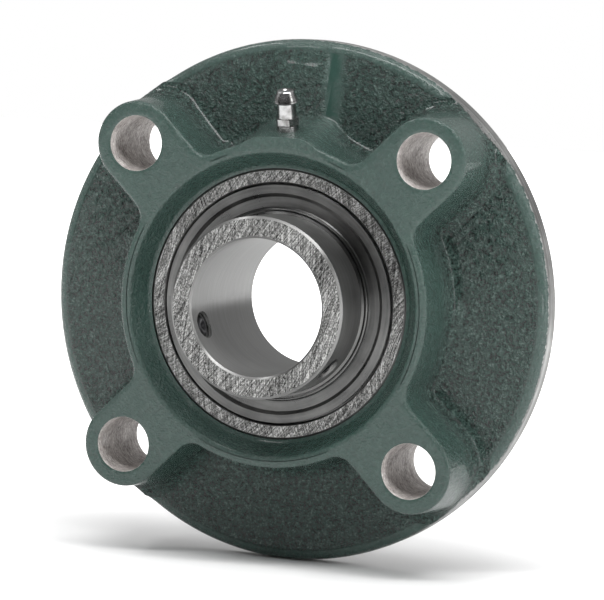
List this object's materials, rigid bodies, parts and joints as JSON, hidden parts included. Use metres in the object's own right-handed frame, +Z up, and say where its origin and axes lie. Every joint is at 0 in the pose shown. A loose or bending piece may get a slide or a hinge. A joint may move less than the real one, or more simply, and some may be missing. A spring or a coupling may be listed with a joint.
{
  "type": "flange mount bearing",
  "caption": "Round cast flange housing with four bolt bosses and a self-aligning ball bearing insert that carries a rotating shaft and is greased through a nipple.",
  "frame": {"origin": "where the shaft axis crosses the mounting face, at the centre of the bolt circle", "axes": "+Z up with the grease nipple at the top, +Y along the shaft from the front of the unit to the wall, +X to the right as seen from the front"},
  "size_m": [0.135, 0.0444, 0.135],
  "materials": {
    "painted_casting": "glossy dark green-grey paint on rough sand-cast iron, bare where machined",
    "ring_steel": "ground and polished bearing steel",
    "ball_steel": "mirror polished",
    "cage_steel": "pressed sheet, satin",
    "seal_steel": "pressed sheet",
    "seal_rubber": "matt nitrile",
    "slinger_steel": "dark pressed sheet, oiled",
    "screw_steel": "black oxide",
    "zinc_plate": "bright zinc plate",
    "spring_steel": "drawn wire"
  },
  "bodies": {
    "housing": {"housing": "painted_casting", "grease_nipple": "zinc_plate", "nipple_spring": "spring_steel"},
    "outer_race": {"outer_ring": "ring_steel", "seal_core_front": "seal_steel", "seal_core_back": "seal_steel", "seal_lip_front": "seal_rubber", "seal_lip_back": "seal_rubber"},
    "inner_race": {"inner_ring": "ring_steel", "slinger_front": "slinger_steel", "slinger_back": "slinger_steel"},
    "cage": {"cage_front": "cage_steel", "cage_back": "cage_steel", "cage_rivets": "cage_steel"},
    "ball_1": {"ball_1": "ball_steel"},
    "ball_2": {"ball_2": "ball_steel"},
    "ball_3": {"ball_3": "ball_steel"},
    "ball_4": {"ball_4": "ball_steel"},
    "ball_5": {"ball_5": "ball_steel"},
    "ball_6": {"ball_6": "ball_steel"},
    "ball_7": {"ball_7": "ball_steel"},
    "ball_8": {"ball_8": "ball_steel"},
    "ball_9": {"ball_9": "ball_steel"},
    "set_screw_1": {"set_screw_1": "screw_steel"},
    "set_screw_2": {"set_screw_2": "screw_steel"},
    "nipple_ball": {"nipple_ball": "ball_steel"}
  },
  "joints": [
    {"name": "insert_align", "type": "hinge", "parent": "housing", "child": "outer_race", "pos_m": [0, -0.011, 0], "axis": [1, 0, 0], "range_deg": [-2, 2]},
    {"name": "inner_ring_spin", "type": "hinge", "parent": "outer_race", "child": "inner_race", "pos_m": [0, -0.011, 0], "axis": [0, 1, 0], "continuous": true},
    {"name": "cage_spin", "type": "hinge", "parent": "outer_race", "child": "cage", "pos_m": [0, -0.011, 0], "axis": [0, 1, 0], "continuous": true},
    {"name": "ball_1_spin", "type": "hinge", "parent": "cage", "child": "ball_1", "pos_m": [0, -0.011, 0.02675], "axis": [0, 1, 0], "continuous": true},
    {"name": "ball_2_spin", "type": "hinge", "parent": "cage", "child": "ball_2", "pos_m": [-0.01719, -0.011, 0.02049], "axis": [0, 1, 0], "continuous": true},
    {"name": "ball_3_spin", "type": "hinge", "parent": "cage", "child": "ball_3", "pos_m": [-0.02634, -0.011, 0.00465], "axis": [0, 1, 0], "continuous": true},
    {"name": "ball_4_spin", "type": "hinge", "parent": "cage", "child": "ball_4", "pos_m": [-0.02317, -0.011, -0.01337], "axis": [0, 1, 0], "continuous": true},
    {"name": "ball_5_spin", "type": "hinge", "parent": "cage", "child": "ball_5", "pos_m": [-0.00915, -0.011, -0.02514], "axis": [0, 1, 0], "continuous": true},
    {"name": "ball_6_spin", "type": "hinge", "parent": "cage", "child": "ball_6", "pos_m": [0.00915, -0.011, -0.02514], "axis": [0, 1, 0], "continuous": true},
    {"name": "ball_7_spin", "type": "hinge", "parent": "cage", "child": "ball_7", "pos_m": [0.02317, -0.011, -0.01337], "axis": [0, 1, 0], "continuous": true},
    {"name": "ball_8_spin", "type": "hinge", "parent": "cage", "child": "ball_8", "pos_m": [0.02634, -0.011, 0.00465], "axis": [0, 1, 0], "continuous": true},
    {"name": "ball_9_spin", "type": "hinge", "parent": "cage", "child": "ball_9", "pos_m": [0.01719, -0.011, 0.02049], "axis": [0, 1, 0], "continuous": true},
    {"name": "set_screw_1_turn_in", "type": "slide", "parent": "inner_race", "child": "set_screw_1", "axis": [0.766, 0, -0.6428], "range_m": [-0.0003, 0.003]},
    {"name": "set_screw_2_turn_in", "type": "slide", "parent": "inner_race", "child": "set_screw_2", "axis": [-0.9397, 0, -0.342], "range_m": [-0.0003, 0.003]},
    {"name": "check_ball_lift", "type": "slide", "parent": "housing", "child": "nipple_ball", "axis": [0, 0.2924, -0.9563], "range_m": [0, 0.001], "stiffness_N_per_m": 300, "springref_m": -0.001, "deforming": ["nipple_spring"]}
  ],
  "couplings": [
    {"joint": "cage_spin", "follows": "inner_ring_spin", "ratio": 0.39615},
    {"joint": "ball_1_spin", "follows": "inner_ring_spin", "ratio": -2.3035},
    {"joint": "ball_2_spin", "follows": "inner_ring_spin", "ratio": -2.3035},
    {"joint": "ball_3_spin", "follows": "inner_ring_spin", "ratio": -2.3035},
    {"joint": "ball_4_spin", "follows": "inner_ring_spin", "ratio": -2.3035},
    {"joint": "ball_5_spin", "follows": "inner_ring_spin", "ratio": -2.3035},
    {"joint": "ball_6_spin", "follows": "inner_ring_spin", "ratio": -2.3035},
    {"joint": "ball_7_spin", "follows": "inner_ring_spin", "ratio": -2.3035},
    {"joint": "ball_8_spin", "follows": "inner_ring_spin", "ratio": -2.3035},
    {"joint": "ball_9_spin", "follows": "inner_ring_spin", "ratio": -2.3035}
  ]
}
